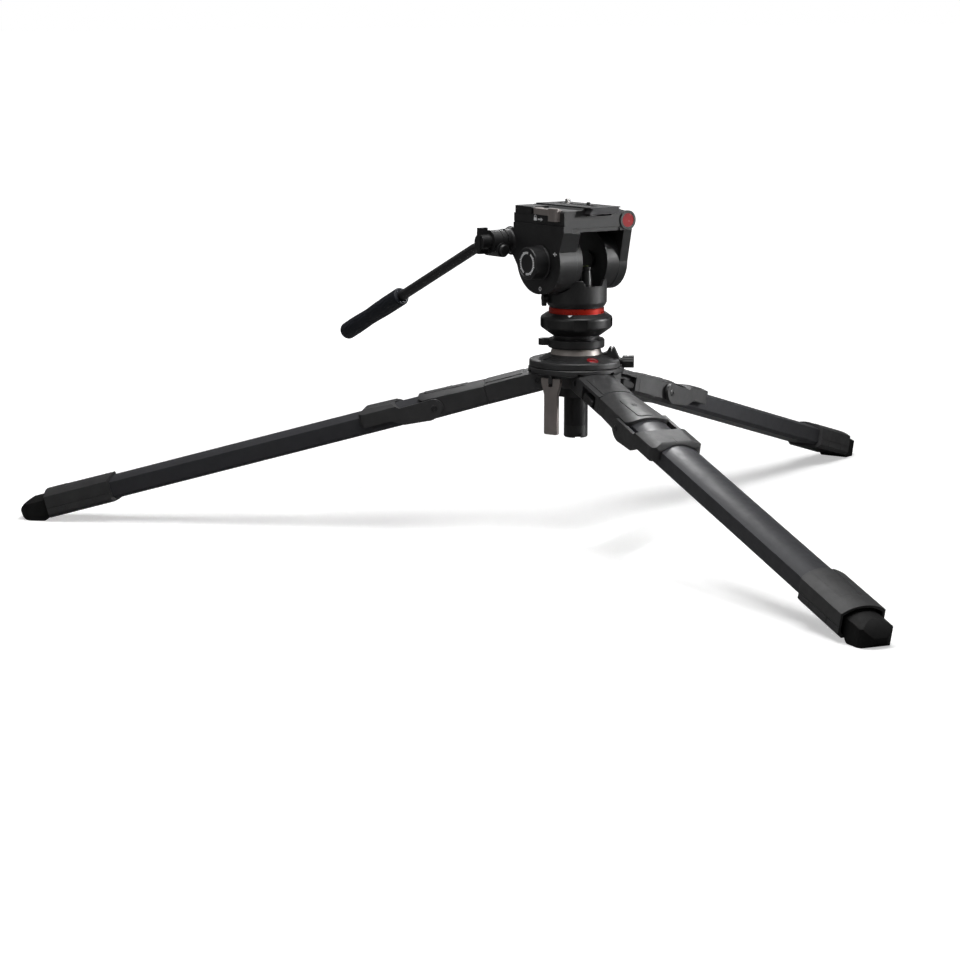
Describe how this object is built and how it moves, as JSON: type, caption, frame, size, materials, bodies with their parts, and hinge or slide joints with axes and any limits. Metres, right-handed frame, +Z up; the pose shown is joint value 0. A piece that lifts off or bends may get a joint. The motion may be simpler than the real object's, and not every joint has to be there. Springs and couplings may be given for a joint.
{
  "type": "video tripod with fluid head",
  "caption": "Low-spread video tripod with telescoping crowned legs, levelling hub, quick-release collar and a fluid head with a sliding camera plate and pan bar.",
  "frame": {"origin": "on the pan axis, in the plane of the camera plate's top face", "axes": "+Z up along the pan axis, -Y the way the head looks, +X the operator's left"},
  "size_m": [1.0594, 1.0239, 0.3593],
  "materials": {
    "casting_black": "matt",
    "hub_grey": "satin",
    "tube_grey": "satin anodised",
    "polymer_grey": "matt",
    "polymer_black": "matt",
    "bronze_anodised": "satin anodised",
    "red_anodised": "satin anodised",
    "rubber": "matt",
    "grip_rubber": "matt",
    "steel": "brushed",
    "plate_grey": "satin",
    "nylon": "matt",
    "vial": "clear",
    "column_black": "satin anodised"
  },
  "bodies": {
    "hub": {"hub_spider": "hub_grey", "hub_cover": "hub_grey", "leg_pins": "steel"},
    "column_lock": {"column_lock_knob": "polymer_black"},
    "release_lever": {"column_release_lever": "bronze_anodised"},
    "level_cup": {"levelling_cup": "nylon"},
    "level_ball": {"levelling_ball": "bronze_anodised"},
    "column": {"centre_column": "column_black", "column_cap": "polymer_black", "release_base": "casting_black", "release_adapter": "red_anodised", "head_base": "casting_black"},
    "level_ring": {"levelling_ring": "hub_grey"},
    "collar": {"release_collar": "casting_black"},
    "pan": {"pan_body": "casting_black", "bubble_housing": "polymer_black", "bubble_vial": "vial", "tilt_axles": "steel"},
    "pan_lock": {"pan_lock": "polymer_black"},
    "cage": {"tilt_cage": "casting_black", "deck_cover": "polymer_black", "boss_cap": "polymer_grey"},
    "drag_knob": {"drag_knob": "polymer_black"},
    "tilt_lock": {"tilt_lock": "polymer_black"},
    "plate_lever": {"plate_lever": "bronze_anodised"},
    "plate": {"camera_plate": "plate_grey"},
    "camera_screw": {"camera_screw": "steel"},
    "video_pin": {"video_pin": "polymer_black"},
    "bar": {"bar_clamp": "casting_black", "pan_bar": "column_black", "bar_plug": "polymer_black", "bar_grip": "grip_rubber"},
    "wing_knob": {"wing_knob": "polymer_black"},
    "leg_front": {"leg_front_root": "polymer_grey", "leg_front_sleeve": "polymer_grey", "leg_front_tube_outer": "tube_grey", "leg_front_shoe": "polymer_grey"},
    "leg_front_button": {"leg_front_angle_button": "polymer_black"},
    "leg_front_lever": {"leg_front_release_lever": "polymer_grey"},
    "leg_front_middle": {"leg_front_tube_middle": "tube_grey"},
    "leg_front_inner": {"leg_front_tube_inner": "tube_grey", "leg_front_foot": "rubber"},
    "leg_left": {"leg_left_root": "polymer_grey", "leg_left_sleeve": "polymer_grey", "leg_left_tube_outer": "tube_grey", "leg_left_shoe": "polymer_grey"},
    "leg_left_button": {"leg_left_angle_button": "polymer_black"},
    "leg_left_lever": {"leg_left_release_lever": "polymer_grey"},
    "leg_left_middle": {"leg_left_tube_middle": "tube_grey"},
    "leg_left_inner": {"leg_left_tube_inner": "tube_grey", "leg_left_foot": "rubber"},
    "leg_right": {"leg_right_root": "polymer_grey", "leg_right_sleeve": "polymer_grey", "leg_right_tube_outer": "tube_grey", "leg_right_shoe": "polymer_grey"},
    "leg_right_button": {"leg_right_angle_button": "polymer_black"},
    "leg_right_lever": {"leg_right_release_lever": "polymer_grey"},
    "leg_right_middle": {"leg_right_tube_middle": "tube_grey"},
    "leg_right_inner": {"leg_right_tube_inner": "tube_grey", "leg_right_foot": "rubber"}
  },
  "joints": [
    {"name": "column_lock_turn", "type": "hinge", "parent": "hub", "child": "column_lock", "pos_m": [0, 0, -0.169], "axis": [0.7518, -0.6593, 0], "continuous": true},
    {"name": "release_lever_flip", "type": "hinge", "parent": "hub", "child": "release_lever", "pos_m": [-0.04451, -0.01511, -0.1855], "axis": [-0.3214, 0.9469, 0], "range_deg": [0, 55], "stiffness_Nm_per_rad": 0.2},
    {"name": "level_pitch", "type": "hinge", "parent": "hub", "child": "level_cup", "pos_m": [0, 0, -0.166], "axis": [1, 0, 0], "range_deg": [-6, 6], "stiffness_Nm_per_rad": 60},
    {"name": "level_roll", "type": "hinge", "parent": "level_cup", "child": "level_ball", "pos_m": [0, 0, -0.166], "axis": [0, 1, 0], "range_deg": [-6, 6], "stiffness_Nm_per_rad": 60},
    {"name": "column_rise", "type": "slide", "parent": "level_ball", "child": "column", "axis": [0, 0, 1], "range_m": [0, 0.045]},
    {"name": "level_ring_turn", "type": "hinge", "parent": "column", "child": "level_ring", "pos_m": [0, 0, -0.149], "axis": [0, 0, 1], "range_deg": [-25, 0]},
    {"name": "collar_turn", "type": "hinge", "parent": "column", "child": "collar", "pos_m": [0, 0, -0.1279], "axis": [0, 0, 1], "range_deg": [0, 40]},
    {"name": "pan", "type": "hinge", "parent": "column", "child": "pan", "pos_m": [0, 0, -0.104], "axis": [0, 0, 1], "continuous": true},
    {"name": "pan_lock_turn", "type": "hinge", "parent": "pan", "child": "pan_lock", "pos_m": [-0.03137, 0.00959, -0.0995], "axis": [-0.9563, 0.2924, 0], "range_deg": [0, 70], "stiffness_Nm_per_rad": 0.05},
    {"name": "tilt", "type": "hinge", "parent": "pan", "child": "cage", "pos_m": [0, 0, -0.06], "axis": [1, 0, 0], "range_deg": [-40, 70], "stiffness_Nm_per_rad": 6},
    {"name": "drag_knob_turn", "type": "hinge", "parent": "cage", "child": "drag_knob", "pos_m": [-0.048, 0, -0.06], "axis": [1, 0, 0], "range_deg": [0, 118]},
    {"name": "tilt_lock_turn", "type": "hinge", "parent": "cage", "child": "tilt_lock", "pos_m": [0.044, 0, -0.08], "axis": [1, 0, 0], "range_deg": [0, 60], "stiffness_Nm_per_rad": 0.1},
    {"name": "plate_lever_swing", "type": "hinge", "parent": "cage", "child": "plate_lever", "pos_m": [-0.0426, 0.011, -0.006], "axis": [0, 0, -1], "range_deg": [0, 35], "stiffness_Nm_per_rad": 0.05},
    {"name": "plate_slide", "type": "slide", "parent": "cage", "child": "plate", "axis": [0, 1, 0], "range_m": [-0.02, 0.02]},
    {"name": "camera_screw_turn", "type": "hinge", "parent": "plate", "child": "camera_screw", "pos_m": [0, 0.0165, -0.004], "axis": [0, 0, 1], "continuous": true},
    {"name": "video_pin_press", "type": "slide", "parent": "plate", "child": "video_pin", "axis": [0, 0, -1], "range_m": [0, 0.0034], "stiffness_N_per_m": 600},
    {"name": "bar_angle", "type": "hinge", "parent": "cage", "child": "bar", "pos_m": [-0.056, 0.06, -0.0408], "axis": [1, 0, 0], "range_deg": [0, 90], "stiffness_Nm_per_rad": 30},
    {"name": "wing_knob_turn", "type": "hinge", "parent": "bar", "child": "wing_knob", "pos_m": [-0.08, 0.06, -0.0408], "axis": [1, 0, 0], "continuous": true},
    {"name": "leg_front_fold", "type": "hinge", "parent": "hub", "child": "leg_front", "pos_m": [-0.00779, -0.03917, -0.18782], "axis": [0.9808, -0.1951, 0], "range_deg": [0, 73]},
    {"name": "leg_front_button_press", "type": "slide", "parent": "leg_front", "child": "leg_front_button", "axis": [-0.9808, 0.1951, 0], "range_m": [0, 0.006]},
    {"name": "leg_front_lever_open", "type": "hinge", "parent": "leg_front", "child": "leg_front_lever", "pos_m": [-0.0296, -0.1488, -0.2196], "axis": [-0.9808, 0.1951, 0], "range_deg": [0, 70]},
    {"name": "leg_front_extend", "type": "slide", "parent": "leg_front", "child": "leg_front_middle", "axis": [-0.1883, -0.9466, -0.2619], "range_m": [0, 0.37]},
    {"name": "leg_front_extend_inner", "type": "slide", "parent": "leg_front_middle", "child": "leg_front_inner", "axis": [-0.1883, -0.9466, -0.2619], "range_m": [0, 0.37]},
    {"name": "leg_left_fold", "type": "hinge", "parent": "hub", "child": "leg_left", "pos_m": [0.03782, 0.01284, -0.18782], "axis": [-0.3214, 0.9469, 0], "range_deg": [0, 73]},
    {"name": "leg_left_button_press", "type": "slide", "parent": "leg_left", "child": "leg_left_button", "axis": [0.3214, -0.9469, 0], "range_m": [0, 0.006]},
    {"name": "leg_left_lever_open", "type": "hinge", "parent": "leg_left", "child": "leg_left_lever", "pos_m": [0.14366, 0.04877, -0.2196], "axis": [0.3214, -0.9469, 0], "range_deg": [0, 70]},
    {"name": "leg_left_extend", "type": "slide", "parent": "leg_left", "child": "leg_left_middle", "axis": [0.9139, 0.3102, -0.2619], "range_m": [0, 0.37]},
    {"name": "leg_left_extend_inner", "type": "slide", "parent": "leg_left_middle", "child": "leg_left_inner", "axis": [0.9139, 0.3102, -0.2619], "range_m": [0, 0.37]},
    {"name": "leg_right_fold", "type": "hinge", "parent": "hub", "child": "leg_right", "pos_m": [-0.03003, 0.02633, -0.18782], "axis": [-0.6593, -0.7518, 0], "range_deg": [0, 73]},
    {"name": "leg_right_button_press", "type": "slide", "parent": "leg_right", "child": "leg_right_button", "axis": [0.6593, 0.7518, 0], "range_m": [0, 0.006]},
    {"name": "leg_right_lever_open", "type": "hinge", "parent": "leg_right", "child": "leg_right_lever", "pos_m": [-0.11407, 0.10003, -0.2196], "axis": [0.6593, 0.7518, 0], "range_deg": [0, 70]},
    {"name": "leg_right_extend", "type": "slide", "parent": "leg_right", "child": "leg_right_middle", "axis": [-0.7256, 0.6363, -0.2619], "range_m": [0, 0.37]},
    {"name": "leg_right_extend_inner", "type": "slide", "parent": "leg_right_middle", "child": "leg_right_inner", "axis": [-0.7256, 0.6363, -0.2619], "range_m": [0, 0.37]}
  ],
  "couplings": [
    {"joint": "leg_front_extend_inner", "follows": "leg_front_extend", "ratio": 1},
    {"joint": "leg_left_extend_inner", "follows": "leg_left_extend", "ratio": 1},
    {"joint": "leg_right_extend_inner", "follows": "leg_right_extend", "ratio": 1}
  ]
}
